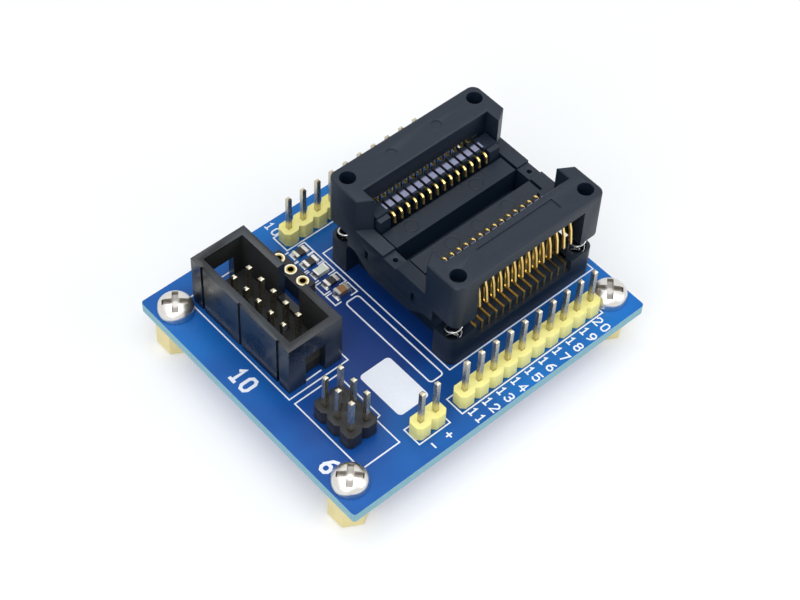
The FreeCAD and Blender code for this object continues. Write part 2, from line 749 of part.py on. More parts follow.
def socket_cover():
    """Pressed frame: two rails on corner legs, cut apart and then joined by the end bars."""
    body = new_body("socket_cover", socket_place, several=True)
    pad(body, "Frame", sketch(body, "FrameOutline", "XY_Plane", "leg_bottom",
                              outlines=[centred("cover_length", "2 * cover_side")]),
        "leg_height")
    dress(body, "Fillet", "FrameCorners", edges_where(body, upright), "cover_corner_radius")
    beyond = "cover_length / 2 + bar_thickness"
    right_side = [
        ("bar_inner_x", "-rail_inner"),
        ("bar_inner_x", "-ear_inner"),
        ("cover_length / 2", "-ear_inner - ear_chamfer"),
        (beyond, "-ear_inner - ear_chamfer"),
        (beyond, "ear_inner + ear_chamfer"),
        ("cover_length / 2", "ear_inner + ear_chamfer"),
        ("bar_inner_x", "ear_inner"),
        ("bar_inner_x", "rail_inner"),
    ]
    opening = right_side + [(f"-({x})", f"-({y})") for x, y in right_side]
    pocket(body, "Opening", sketch(body, "OpeningOutline", "XY_Plane", "cover_top",
                                   outlines=[opening]), "leg_height")
    hollows = [
        [(f"{side} * ({distance})", height) for distance, height in (
            ("ear_inner", "leg_bottom - rail_plate"),
            ("ear_inner", "lip_bottom"),
            ("rail_inner + rail_lip", "lip_bottom"),
            ("rail_inner + rail_lip", "plate_bottom"),
            ("cover_side + rail_plate", "plate_bottom"),
            ("cover_side + rail_plate", "leg_bottom - rail_plate"),
        )]
        for side in (-1, 1)
    ]
    pocket(body, "RailHollows", sketch(body, "HollowSections", "YZ_Plane", outlines=hollows),
           "2 * leg_inner_x", symmetric=True)
    rim = edges_where(body, level(amount("cover_top")))
    dress(body, "Chamfer", "RimChamfer", rim, "cover_edge_chamfer")
    bar = mirrored([
        ("bar_middle_width / 2", "leg_bottom - bar_middle_depth"),
        ("bar_middle_width / 2 + bar_slope", "leg_bottom - bar_end_depth"),
        ("bar_side", "leg_bottom - bar_end_depth"),
        ("bar_side", "bar_top"),
        ("trench_width / 2", "bar_top"),
        ("trench_width / 2", "bar_top - bar_strip"),
    ])
    for side, offset in (("Left", "-cover_length / 2"), ("Right", "bar_inner_x")):
        pad(body, f"{side}Bar", sketch(body, f"{side}BarOutline", "YZ_Plane", offset,
                                       outlines=[bar]), "bar_thickness")
    slots = [
        block(f"{side} * bar_slot_spacing / 2 - bar_slot_width / 2",
              f"{side} * bar_slot_spacing / 2 + bar_slot_width / 2",
              "leg_bottom - bar_slot_drop", "leg_bottom - bar_slot_drop + bar_slot_height")
        for side in (-1, 1)
    ]
    pocket(body, "BarSlots", sketch(body, "BarSlotOutlines", "YZ_Plane", outlines=slots),
           "cover_length + bar_thickness", symmetric=True)
    pocket(body, "RailHoles",
           sketch(body, "RailHolePlan", "XY_Plane", "cover_top",
                  outlines=spring_outlines("rail_hole_diameter")),
           "rail_hole_depth")
    pocket(body, "SpringPockets",
           sketch(body, "SpringPocketPlan", "XY_Plane", "spring_roof",
                  outlines=spring_outlines("pocket_diameter")),
           "cover_pocket_depth")
    bar_holes = [octagon(f"{side} * (cover_length - bar_thickness) / 2", "0", "bar_hole_diameter")
                 for side in (-1, 1)]
    pocket(body, "BarHoles", sketch(body, "BarHolePlan", "XY_Plane", "bar_top - bar_strip",
                                    outlines=bar_holes), "bar_hole_depth")
    panel = block("-panel_length / 2", "panel_length / 2",
                  "panel_inset - cover_side", "panel_inset + panel_width - cover_side")
    pocket(body, "BlankPanel", sketch(body, "PanelOutline", "XY_Plane", "cover_top",
                                      outlines=[panel]), "panel_depth")
    marks = [octagon(f"{side} * mark_spacing / 2", "(cover_side + rail_inner) / 2",
                     "mark_diameter") for side in (-1, 1)]
    pocket(body, "Marks", sketch(body, "MarkOutlines", "XY_Plane", "cover_top",
                                 outlines=marks), "mark_depth")


def contact_outline(side, tail):
    """Side view of one stamped contact, in distance from the socket's middle and height."""
    left = f"{tail} - tail_width / 2"
    right = f"{tail} + tail_width / 2"
    foot_bottom = "band_height + contact_play"
    toe_end = "shelf_side + contact_proud"
    tip_inner = "seat_side + tip_gap"
    tip_outer = f"{tip_inner} + tip_width"
    arm_bottom = "arm_top - arm_width"
    prong_end = "foot_top + prong_end_rise"
    head_end = "prong_outer + prong_width + head_overhang"
    outline = [
        (left, "-tail_length"),
        (right, "-tail_length"),
        (right, foot_bottom),
        (toe_end, foot_bottom),
        (toe_end, "foot_top"),
        ("prong_inner + prong_width", "foot_top"),
        ("prong_inner + prong_width", "fork_height"),
        ("prong_outer", "fork_height"),
        ("prong_outer", prong_end),
        ("prong_outer + prong_width", prong_end),
        (head_end, "fork_height"),
        (head_end, "head_top"),
        ("prong_inner + head_shift", "head_top"),
        ("prong_inner", "arm_top + arm_width"),
        ("prong_inner - arm_width", "arm_top"),
        (f"{tip_inner} + arm_bend", "arm_top"),
        (tip_inner, "arm_top - arm_bend"),
        (tip_inner, "seat_top + tip_lift"),
        (tip_outer, "seat_top + tip_lift"),
        (tip_outer, "arm_top - arm_bend"),
        (f"{tip_outer} + arm_bend", arm_bottom),
        ("prong_inner", arm_bottom),
        ("prong_inner", "foot_top"),
        ("foot_inner + contact_play", "foot_top"),
        ("foot_inner + contact_play", foot_bottom),
        (left, foot_bottom),
    ]
    return [(f"{side} * ({distance})", height) for distance, height in outline]


def contact_row(name, side):
    """One row of contacts; every second one has its tail further out."""
    body = new_body(name, socket_place, several=True)
    features = []
    for number, tail in enumerate(("tail_near", "tail_far")):
        outline = sketch(body, f"Contact{number + 1}", "YZ_Plane",
                         f"{number} * contact_pitch - row_length / 2",
                         outlines=[contact_outline(side, tail)])
        features.append(pad(body, f"Stamping{number + 1}", outline, "contact_thickness",
                            symmetric=True))
    repeat(body, "ContactRow", "X_Axis", "contact_count / 2", "2 * contact_pitch", features)


def spring(number, right, back):
    """Coil spring; its square wire is drawn as short straight runs."""
    runs_a_turn = 8
    wire = amount("spring_wire")
    radius = amount("(spring_diameter - spring_wire) / 2")
    low = amount("spring_floor + spring_wire / 2 + spring_gap")
    high = amount("spring_roof - spring_wire / 2 - spring_gap")
    turns = (high - low) / amount("spring_pitch")
    runs = round(turns * runs_a_turn)
    path = [
        FreeCAD.Vector(
            radius * math.cos(2 * math.pi * turns * step / runs),
            radius * math.sin(2 * math.pi * turns * step / runs),
            low + (high - low) * step / runs,
        )
        for step in range(runs + 1)
    ]
    outward = FreeCAD.Vector(wire / 2, 0, 0)
    upward = FreeCAD.Vector(0, 0, wire / 2)
    corners = [path[0] + outward, path[0] + upward, path[0] - outward, path[0] - upward]
    section = Part.makePolygon(corners + [corners[0]])
    feature = doc.addObject("Part::Feature", f"spring_{number}")
    feature.Label = f"spring_{number}"
    feature.Shape = Part.makePolygon(path).makePipeShell([section], True, False, 1)
    put(feature, (f"socket_x + {right} * spring_x", f"socket_y + {back} * spring_y", "board_top"))
    subparts.append(feature)


circuit_board()
for corner, (right, back) in enumerate(corner_signs(), start=1):
    standoff(corner, f"{right} * screw_x", f"{back} * screw_y")
    screw(corner, f"{right} * screw_x", f"{back} * screw_y")
header("front_header", ("row_first_x", "-row_spacing / 2", "board_top"),
       "row_pins", "1", "header_height", "header_pin_height")
header("back_header", ("row_first_x", "row_spacing / 2", "board_top"),
       "row_pins", "1", "header_height", "header_pin_height")
header("power_header", ("power_first_x", "-row_spacing / 2", "board_top"),
       "power_pins", "1", "header_height", "header_pin_height")
header("six_pin_header", ("six_x", "six_y", "board_top"),
       "2", "six_rows", "six_height", "six_pin_height")
box_header()
crystal_socket()
chip_part("chip_resistor_1", 0, "resistor_height")
chip_part("chip_resistor_2", 1, "resistor_height")
chip_part("indicator_lamp", 2, "lamp_height")
chip_part("chip_resistor_3", 3, "resistor_height")
chip_part("chip_capacitor", 4, "capacitor_height")
socket_base()
socket_cover()
contact_row("contacts_front", -1)
contact_row("contacts_back", 1)
for corner, (right, back) in enumerate(corner_signs(), start=1):
    spring(corner, right, back)
doc.recompute()

for item in doc.Objects:
    if "Invalid" in item.State or "Error" in item.State:
        raise RuntimeError(f"{item.Label} failed: {item.State}")
for item in subparts:
    if item.Shape.isNull() or not item.Shape.isValid():
        raise RuntimeError(f"{item.Label} has no valid shape")

os.makedirs("parts", exist_ok=True)
for item in subparts:
    item.Shape.exportStep(f"parts/{item.Label}.step")
    print(item.Label, len(item.Shape.Solids), round(item.Shape.Volume, 2))
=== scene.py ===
import math

import bmesh
import bpy
from mathutils import Matrix, Vector


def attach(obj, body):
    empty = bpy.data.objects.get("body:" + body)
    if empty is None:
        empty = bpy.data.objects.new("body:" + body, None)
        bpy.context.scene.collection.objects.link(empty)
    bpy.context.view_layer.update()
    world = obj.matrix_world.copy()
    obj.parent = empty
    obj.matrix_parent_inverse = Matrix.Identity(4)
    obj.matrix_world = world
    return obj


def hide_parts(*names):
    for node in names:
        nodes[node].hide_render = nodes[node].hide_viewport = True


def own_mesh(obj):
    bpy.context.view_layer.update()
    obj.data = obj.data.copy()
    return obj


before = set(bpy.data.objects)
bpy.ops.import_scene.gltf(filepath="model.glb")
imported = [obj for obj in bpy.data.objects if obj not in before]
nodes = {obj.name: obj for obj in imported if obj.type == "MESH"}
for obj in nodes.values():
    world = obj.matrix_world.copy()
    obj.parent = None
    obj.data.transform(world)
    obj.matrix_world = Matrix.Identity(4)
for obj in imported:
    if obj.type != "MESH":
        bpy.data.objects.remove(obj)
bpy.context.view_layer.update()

mm = 0.001
# shared places, in millimetres
boardTop = 6.6
boardBottom = 5.0
pinPitch = 2.54
screwX, screwY = 23.1, 17.9
socketMiddle = (11.58, -0.47)
print("CAD frame loaded")


# Shader helpers: a wrapped socket and one method for nodes
class Wire:
    def __init__(self, finish, socket):
        self.finish = finish
        self.socket = socket

    def maths(self, operation, first, second):
        return self.finish.node("ShaderNodeMath", dict(operation=operation), [first, second])

    def __add__(self, other):
        return self.maths("ADD", self, other)

    def __radd__(self, other):
        return self.maths("ADD", other, self)

    def __sub__(self, other):
        return self.maths("SUBTRACT", self, other)

    def __rsub__(self, other):
        return self.maths("SUBTRACT", other, self)

    def __mul__(self, other):
        return self.maths("MULTIPLY", self, other)

    def __rmul__(self, other):
        return self.maths("MULTIPLY", other, self)

    def __gt__(self, other):
        return self.maths("GREATER_THAN", self, other)

    def __lt__(self, other):
        return self.maths("LESS_THAN", self, other)

    def __abs__(self):
        return self.maths("ABSOLUTE", self, 0.0)

    def larger(self, other):
        return self.maths("MAXIMUM", self, other)

    def smaller(self, other):
        return self.maths("MINIMUM", self, other)

    def root(self):
        return self.maths("SQRT", self, 0.0)


def shade(red, green, blue):
    # screen colour, 0 to 255, made linear
    def linear(part):
        part = part / 255
        return part / 12.92 if part <= 0.04045 else ((part + 0.055) / 1.055) ** 2.4
    return (linear(red), linear(green), linear(blue), 1.0)


class Finish:
    def __init__(self, name, colour, metallic=0.0):
        self.material = bpy.data.materials.new(name)
        self.material.use_nodes = True
        self.tree = self.material.node_tree
        self.tree.nodes.clear()
        output = self.tree.nodes.new("ShaderNodeOutputMaterial")
        self.shader = self.tree.nodes.new("ShaderNodeBsdfPrincipled")
        self.tree.links.new(self.shader.outputs["BSDF"], output.inputs["Surface"])
        self.put("Base Color", colour)
        self.put("Metallic", metallic)
        self.place = None

    def put(self, name, value):
        self.fill(self.shader.inputs[name], value)

    def fill(self, socket, value):
        if isinstance(value, Wire):
            self.tree.links.new(value.socket, socket)
        else:
            socket.default_value = value

    def node(self, kind, settings, values, output=0):
        made = self.tree.nodes.new(kind)
        for name, setting in settings.items():
            setattr(made, name, setting)
        items = values.items() if isinstance(values, dict) else enumerate(values)
        for key, value in items:
            self.fill(made.inputs[key], value)
        return Wire(self, made.outputs[output])

    def spot(self):
        # where the surface point is, in metres
        if self.place is None:
            self.place = self.node("ShaderNodeTexCoord", {}, {}, "Object")
        return self.place

    def axis(self, name):
        return self.node("ShaderNodeSeparateXYZ", {}, {"Vector": self.spot()}, name)

    def facing(self, name):
        normal = self.node("ShaderNodeNewGeometry", {}, {}, "True Normal")
        return abs(self.node("ShaderNodeSeparateXYZ", {}, {"Vector": normal}, name))

    def stretch(self, scale):
        return self.node("ShaderNodeVectorMath", dict(operation="MULTIPLY"), [self.spot(), scale])

    def noise(self, cellsPerMm, detail=3.0, roughness=0.55, stretched=None):
        vector = self.stretch(stretched) if stretched else self.spot()
        return self.node("ShaderNodeTexNoise", {}, {
            "Vector": vector, "Scale": cellsPerMm / mm, "Detail": detail,
            "Roughness": roughness}, "Fac")

    def ramp(self, value, low, high):
        # 0 below low, 1 above high
        return self.node("ShaderNodeMapRange", dict(clamp=True), {
            "Value": value, "From Min": low, "From Max": high, "To Min": 0.0, "To Max": 1.0})

    def mix(self, share, first, second):
        return self.node("ShaderNodeMix", dict(data_type="RGBA"),
                         {0: share, 6: first, 7: second}, 2)

    def fromLine(self, across, along):
        # how far a point is from an upright line, given its two offsets
        return (across * across + along * along).root()

    def bump(self, height, depth):
        normal = self.node("ShaderNodeBump", {}, {
            "Height": height, "Distance": depth * mm, "Strength": 1.0}, "Normal")
        self.put("Normal", normal)


# Finishes
boardLook = dict(
    mask=shade(10, 90, 174), maskDeep=shade(8, 72, 150), maskPale=shade(12, 112, 196),
    # maskPaintedShade is painted shade for the middle of the board
    maskPaintedShade=shade(10, 50, 116), laminate=shade(152, 194, 204),
    laminateDark=shade(108, 162, 182), specular=0.28, roughness=0.26, edgeRoughness=0.3,
    middleReach=(8.0, 21.0), squareness=0.85)


def solderMask():
    look = boardLook
    finish = Finish("solderMask", look["mask"])
    finish.put("Specular IOR Level", look["specular"])
    broad = finish.noise(0.06, 2.0)
    fine = finish.noise(2.2, 4.0)
    colour = finish.mix(finish.ramp(broad, 0.35, 0.65), look["maskDeep"], look["maskPale"])
    colour = finish.mix(finish.ramp(fine, 0.2, 0.8) * 0.35, colour, look["mask"])
    # painted shade: the mask is deeper towards the middle of the board, as the tall parts shade it
    outwards = (abs(finish.axis("X")) * look["squareness"]).larger(abs(finish.axis("Y")))
    near, far = look["middleReach"]
    colour = finish.mix(finish.ramp(outwards, near * mm, far * mm), look["maskPaintedShade"], colour)
    fibre = finish.noise(1.6, 4.0, stretched=(1.0, 1.0, 9.0))
    edge = finish.mix(fibre, look["laminateDark"], look["laminate"])
    upright = 1.0 - finish.ramp(finish.facing("Z"), 0.4, 0.6)
    finish.put("Base Color", finish.mix(upright, colour, edge))
    finish.put("Roughness", look["roughness"] + fine * 0.12 + upright * look["edgeRoughness"])
    finish.bump(finish.noise(3.0, 3.0), 0.006)
    return finish


def printedInk():
    finish = Finish("printedInk", shade(238, 242, 250))
    grain = finish.noise(9.0, 3.0)
    finish.put("Base Color", finish.mix(grain, shade(216, 226, 244), shade(246, 248, 253)))
    finish.put("Roughness", 0.45 + grain * 0.2)
    finish.bump(grain, 0.008)
    return finish


plasticLook = dict(
    specular=0.38, grain=0.012, speck=shade(112, 122, 130), ringHalf=(0.05, 0.12), ringRise=0.04)


def mouldedPlastic(name, dark, pale, roughness, specks=0.0, rings=()):
    # rings: places of round moulding marks, as (x, y, z, radius)
    look = plasticLook
    finish = Finish(name, dark)
    finish.put("Specular IOR Level", look["specular"])
    broad = finish.noise(0.35, 3.0)
    fine = finish.noise(14.0, 3.0, 0.6)
    dust = finish.ramp(finish.noise(2.6, 5.0, 0.7), 0.6, 0.74) * specks
    plain = finish.mix(broad * 0.6 + fine * 0.4, dark, pale)
    finish.put("Base Color", finish.mix(dust, plain, look["speck"]))
    finish.put("Roughness", roughness - 0.08 + broad * 0.1 + fine * 0.08 + dust * 0.2)
    relief = fine * look["grain"]
    near, far = look["ringHalf"]
    for x, y, z, radius in rings:
        away = finish.node("ShaderNodeVectorMath", dict(operation="DISTANCE"),
                           [finish.spot(), (x * mm, y * mm, z * mm)], 1)
        ring = finish.ramp(abs(away - radius * mm), near * mm, far * mm)
        relief = relief + ring * look["ringRise"]
    finish.bump(relief, 1.0)
    return finish


socketLook = dict(dark=shade(5, 18, 31), pale=shade(13, 30, 48), roughness=0.44)
baseLook = dict(
    dark=shade(5, 18, 31), pale=shade(15, 31, 49), paintedSheen=shade(150, 154, 184),
    combHeight=19.13, combAcross=(5.75, 6.95), combFade=0.3, combAlong=8.75,
    markHeight=16.9, markRadius=1.0,
    marks=((4.8, 2.5), (16.4, 2.4), (7.0, -3.1), (11.8, -3.1), (17.1, -3.1)))


def basePlastic():
    # the same plastic; the tops of the comb's teeth are painted pale, a painted reflection of the
    # light above
    look = baseLook
    rings = [(x, y, look["markHeight"], look["markRadius"]) for x, y in look["marks"]]
    finish = mouldedPlastic("basePlastic", **socketLook, rings=rings)
    grain = finish.noise(1.4, 4.0, 0.6)
    across = abs(finish.axis("Y") - socketMiddle[1] * mm)
    along = abs(finish.axis("X") - socketMiddle[0] * mm)
    near, far = look["combAcross"]
    tops = ((finish.axis("Z") > look["combHeight"] * mm) * (across > near * mm)
            * (along < look["combAlong"] * mm)
            * (1.0 - finish.ramp(across, (far - look["combFade"]) * mm, far * mm)))
    plain = finish.mix(grain, look["dark"], look["pale"])
    # painted sheen on the tops of the teeth
    finish.put("Base Color", finish.mix(tops * (0.6 + grain * 0.5), plain, look["paintedSheen"]))
    return finish


shroudLook = dict(
    dark=shade(9, 16, 23), scuffed=shade(52, 66, 78), cavityShade=shade(7, 9, 11),
    cavityMiddle=(-15.8, 7.6), cavityHalf=(3.3, 8.95), cavityTop=15.3)


def shroudPlastic():
    look = shroudLook
    finish = Finish("shroudPlastic", look["dark"])
    smear = finish.ramp(finish.noise(0.16, 3.0, 0.5, (1.0, 1.0, 1.4)), 0.42, 0.72)
    streaks = finish.ramp(finish.noise(1.1, 4.0, 0.7, (1.0, 0.3, 2.0)), 0.55, 0.75)
    scuffs = smear * 0.7 + streaks * 0.3
    outside = finish.mix(scuffs * 0.55, look["dark"], look["scuffed"])
    # painted shade: the cavity is darkened, and it is matt
    x, y = look["cavityMiddle"]
    halfX, halfY = look["cavityHalf"]
    inside = ((abs(finish.axis("X") - x * mm) < halfX * mm)
              * (abs(finish.axis("Y") - y * mm) < halfY * mm)
              * (finish.axis("Z") < look["cavityTop"] * mm))
    finish.put("Base Color", finish.mix(inside, outside, look["cavityShade"]))
    finish.put("Roughness", 0.22 + scuffs * 0.26 + inside * 0.45)
    finish.bump(finish.noise(5.0, 4.0), 0.005)
    return finish


metalLook = dict(spread=0.12, grain=0.004, stretched=(1.0, 1.0, 0.2))


def plainMetal(name, dark, pale, roughness):
    look = metalLook
    finish = Finish(name, pale, metallic=1.0)
    drawn = finish.noise(7.0, 3.0, 0.6, look["stretched"])
    broad = finish.noise(0.8, 2.0)
    finish.put("Base Color", finish.mix(drawn * 0.5 + broad * 0.5, dark, pale))
    finish.put("Roughness", roughness - look["spread"] / 2 + drawn * look["spread"])
    finish.bump(drawn, look["grain"])
    return finish


sleeveLook = dict(
    x=-8.4, y=11.585, rimDark=shade(232, 226, 200), rimPale=shade(248, 244, 224),
    cone=shade(176, 154, 92), bore=shade(60, 50, 30), rimReach=(0.62, 0.7),
    boreReach=(0.4, 0.48))


def sleeveMetal():
    # pale rims round darker cones; the dark bores are painted shade
    look = sleeveLook
    finish = Finish("turnedSleeve", look["rimPale"], metallic=1.0)
    grain = finish.noise(7.0, 3.0)
    across = finish.axis("X") - look["x"] * mm
    offMiddle = abs(finish.axis("Y") - look["y"] * mm)
    along = offMiddle.smaller(abs(offMiddle - pinPitch * mm))
    radius = finish.fromLine(across, along)
    rim = finish.mix(grain, look["rimDark"], look["rimPale"])
    near, far = look["rimReach"]
    cone = finish.mix(finish.ramp(radius, near * mm, far * mm), look["cone"], rim)
    near, far = look["boreReach"]
    # painted shade in the bores
    bore = ((1.0 - finish.ramp(radius, near * mm, far * mm))
            * (finish.axis("Z") > boardTop * mm))
    finish.put("Base Color", finish.mix(bore, cone, look["bore"]))
    finish.put("Roughness", 0.26 + grain * 0.12)
    finish.bump(grain, 0.004)
    return finish


platingLook = dict(
    # recess is the colour of the painted shade in the cross
    dark=shade(204, 201, 196), pale=shade(230, 228, 224), recess=shade(156, 153, 148),
    roughness=0.3, middleReach=(0.35, 0.7), recessReach=(1.8, 1.86), recessLow=7.0,
    recessTop=(8.2, 8.36))


def screwMetal():
    # painted shade: the cross recess is darker than the plating round it
    look = platingLook
    finish = plainMetal("nickelPlate", look["dark"], look["pale"], look["roughness"])
    radius = finish.fromLine(abs(finish.axis("X")) - screwX * mm,
                             abs(finish.axis("Y")) - screwY * mm)
    height = finish.axis("Z")
    recess = height > look["recessLow"] * mm
    near, far = look["middleReach"]
    recess = recess * finish.ramp(radius, near * mm, far * mm)
    near, far = look["recessReach"]
    recess = recess * (1.0 - finish.ramp(radius, near * mm, far * mm))
    low, high = look["recessTop"]
    recess = recess * (1.0 - finish.ramp(height, low * mm, high * mm))
    plating = finish.mix(finish.noise(5.0, 3.0), look["dark"], look["pale"])
    # painted shade in the cross recess
    finish.put("Base Color", finish.mix(recess, plating, look["recess"]))
    return finish


chipLook = dict(
    middle=-4.1, rows=(14.95, 12.8, 10.5, 8.1, 5.75), tin=shade(236, 234, 228),
    tinDark=shade(206, 204, 198), tinRoughness=0.3, edge=0.02)


def chipFinish(name, dark, pale, gloss=0.35, bodyHalf=0.54):
    look = chipLook
    finish = Finish(name, dark)
    grain = finish.noise(6.0, 4.0)
    body = finish.mix(grain, dark, pale)
    metal = finish.mix(grain, look["tinDark"], look["tin"])
    fromMiddle = abs(finish.axis("X") - look["middle"] * mm)
    ends = finish.ramp(fromMiddle, (bodyHalf - look["edge"]) * mm, bodyHalf * mm)
    finish.put("Base Color", finish.mix(ends, body, metal))
    finish.put("Metallic", ends)
    finish.put("Roughness", gloss + ends * (look["tinRoughness"] - gloss) + grain * 0.08)
    finish.bump(grain, 0.01)
    return finish


finishes = {
    "board": solderMask(),
    "ink": printedInk(),
    "socket": mouldedPlastic("socketPlastic", **socketLook, specks=0.12),
    "base": basePlastic(),
    "shroud": shroudPlastic(),
    "black": mouldedPlastic("blackPlastic", shade(20, 21, 25), shade(34, 36, 42), 0.4),
    "yellow": mouldedPlastic("yellowPlastic", shade(243, 235, 132), shade(252, 248, 172), 0.42),
    "tin": plainMetal("tinnedWire", shade(168, 160, 140), shade(222, 214, 192), 0.28),
    "gold": plainMetal("goldPlate", shade(232, 190, 104), shade(255, 232, 158), 0.3),
    "paleGold": sleeveMetal(),
    "nickel": screwMetal(),
    "brass": plainMetal("drawnBrass", shade(216, 200, 138), shade(242, 230, 180), 0.34),
    "spring": plainMetal("springWire", shade(168, 170, 172), shade(214, 216, 218), 0.26),
    "solder": plainMetal("solder", shade(170, 172, 174), shade(214, 215, 214), 0.3),
    "resistor": chipFinish("resistorGlaze", shade(24, 24, 28), shade(52, 50, 50)),
    "capacitor": chipFinish("capacitorCeramic", shade(136, 98, 62), shade(170, 130, 90)),
    "lamp": chipFinish("lampResin", shade(205, 214, 200), shade(234, 238, 226), 0.3, 0.78),
}
print("finishes made")


# Pieces: from mesh to object
def only(parts, kind):
    return [part for part in parts if isinstance(part, kind)]


def inMetres(bm):
    bmesh.ops.scale(bm, vec=(mm, mm, mm), verts=bm.verts)


def merged(bm, distance):
    bmesh.ops.remove_doubles(bm, verts=bm.verts, dist=distance * mm)
    bmesh.ops.recalc_face_normals(bm, faces=bm.faces)


def eased(bm, edges, width):
    bmesh.ops.bevel(bm, geom=edges, offset=width, offset_type="OFFSET", segments=2,
                    profile=0.5, affect="EDGES", clamp_overlap=True, material=-1)


def lathe(bm, profile, steps, x=0.0, y=0.0):
    # a profile of (radius, height) points, turned about the upright line at x, y
    points = [bm.verts.new(((x + radius) * mm, y * mm, z * mm)) for radius, z in profile]
    edges = [bm.edges.new(pair) for pair in zip(points, points[1:])]
    bmesh.ops.spin(bm, geom=points + edges, cent=(x * mm, y * mm, 0), axis=(0, 0, 1),
                   angle=2 * math.pi, steps=steps, use_merge=True, use_duplicate=False)


def placed(name, data):
    piece = bpy.data.objects.new(name, data)
    bpy.context.scene.collection.objects.link(piece)
    return piece


def plainObject(name, bm):
    mesh = bpy.data.meshes.new(name)
    bm.to_mesh(mesh)
    bm.free()
    return placed(name, mesh)


def finished(name, bm, finish, body="board", replacing=(), smoothBelow=0.0):
    mesh = bpy.data.meshes.new(name)
    if smoothBelow:
        for face in bm.faces:
            face.smooth = True
    bm.to_mesh(mesh)
    bm.free()
    if smoothBelow:
        mesh.set_sharp_from_angle(angle=math.radians(smoothBelow))
    piece = placed(name, mesh)
    mesh.materials.append(finishes[finish].material)
    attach(piece, body)
    if replacing:
        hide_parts(*replacing)
    return piece


softenedLook = dict(merge=0.002, flat=1.5, sharp=35.0, smooth=25.0)


def softened(node, finish, body, width):
    # a copy of a CAD node with its sharp edges rounded a little
    look = softenedLook
    bm = bmesh.new()
    bm.from_mesh(nodes[node].data)
    bmesh.ops.remove_doubles(bm, verts=bm.verts, dist=look["merge"] * mm)
    bmesh.ops.dissolve_limit(bm, angle_limit=math.radians(look["flat"]), verts=bm.verts,
                             edges=bm.edges)
    sharp = [edge for edge in bm.edges if len(edge.link_faces) == 2
             and edge.calc_face_angle() > math.radians(look["sharp"])]
    eased(bm, sharp, width * mm)
    finished(f"{node}_soft", bm, finish, body, (node,), smoothBelow=look["smooth"])


# CAD nodes that keep their shape
kept = {
    "circuit_board": "board",
    "crystal_socket_body": "black", "crystal_socket_sleeves": "paleGold",
    "chip_resistor_1": "resistor", "chip_resistor_2": "resistor", "chip_resistor_3": "resistor",
    "chip_capacitor": "capacitor", "indicator_lamp": "lamp",
    "front_header_pins": "tin", "back_header_pins": "tin", "power_header_pins": "tin",
    "six_pin_header_pins": "tin", "box_header_pins": "tin",
    "standoff_1": "brass", "standoff_2": "brass", "standoff_3": "brass", "standoff_4": "brass",
}
for node, finish in kept.items():
    mesh = nodes[node].data
    mesh.materials.clear()
    mesh.materials.append(finishes[finish].material)

softened("socket_cover", "socket", "cover", 0.07)
softened("socket_base", "base", "board", 0.05)
softened("box_header_shroud", "shroud", "board", 0.12)
softened("six_pin_header_body", "black", "board", 0.08)
for row in ("front", "back", "power"):
    softened(f"{row}_header_body", "yellow", "board", 0.1)
print("mouldings softened")


# Springs
springLook = dict(
    xs=(0.28, 22.88), ys=(-11.17, 10.23), bottom=9.2, top=19.0, wire=0.3, wireSides=10,
    across=2.5, turns=5.0, closedTurns=1.0, closedSpacing=1.02, stepsPerTurn=28, gap=0.03,
    merge=0.0005)


def coil(name, x, y, node):
    look = springLook
    radius = (look["across"] - look["wire"]) / 2 * mm
    steps = look["stepsPerTurn"]
    low = look["bottom"] + look["wire"] / 2 + look["gap"]
    high = look["top"] - look["wire"] / 2 - look["gap"]
    closedRise = look["closedTurns"] * look["wire"] * look["closedSpacing"]
    openRise = high - low - 2 * closedRise
    bm = bmesh.new()
    turned = Matrix.Translation((x * mm + radius, y * mm, low * mm)) @ Matrix.Rotation(
        math.pi / 2, 4, "X")
    bmesh.ops.create_circle(bm, cap_ends=True, segments=look["wireSides"],
                            radius=look["wire"] / 2 * mm, matrix=turned)
    end = list(bm.faces)
    for turns, rise in ((look["closedTurns"], closedRise), (look["turns"], openRise),
                        (look["closedTurns"], closedRise)):
        count = int(turns * steps)
        grown = bmesh.ops.spin(
            bm, geom=end, cent=(x * mm, y * mm, 0.0), axis=(0, 0, 1),
            dvec=(0, 0, rise / count * mm), angle=turns * 2 * math.pi, steps=count,
            use_duplicate=False)
        end = only(grown["geom_last"], bmesh.types.BMFace)
    merged(bm, look["merge"])
    piece = finished(name, bm, "spring", "board", (node,), smoothBelow=60.0)
    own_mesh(piece)


left, right = springLook["xs"]
front, back = springLook["ys"]
coil("coil_left_front", left, front, "spring_1")
coil("coil_right_front", right, front, "spring_2")
coil("coil_right_back", right, back, "spring_3")
coil("coil_left_back", left, back, "spring_4")
print("springs wound")


# Fins that close the ends of the contact rows
finLook = dict(near=(8.75, 9.1), side=(8.9, 11.3), height=(4.3, 8.0), edge=0.06)


def endFins():
    look = finLook
    bm = bmesh.new()
    for right in (-1, 1):
        for back in (-1, 1):
            x = socketMiddle[0] + right * sum(look["near"]) / 2
            y = socketMiddle[1] + back * sum(look["side"]) / 2
            z = boardTop + sum(look["height"]) / 2
            size = [look[name][1] - look[name][0] for name in ("near", "side", "height")]
            bmesh.ops.create_cube(bm, size=1.0, matrix=Matrix.Translation((x, y, z))
                                  @ Matrix.Diagonal((*size, 1.0)))
    eased(bm, list(bm.edges), look["edge"])
    inMetres(bm)
    finished("socket_end_fins", bm, "socket", smoothBelow=25.0)


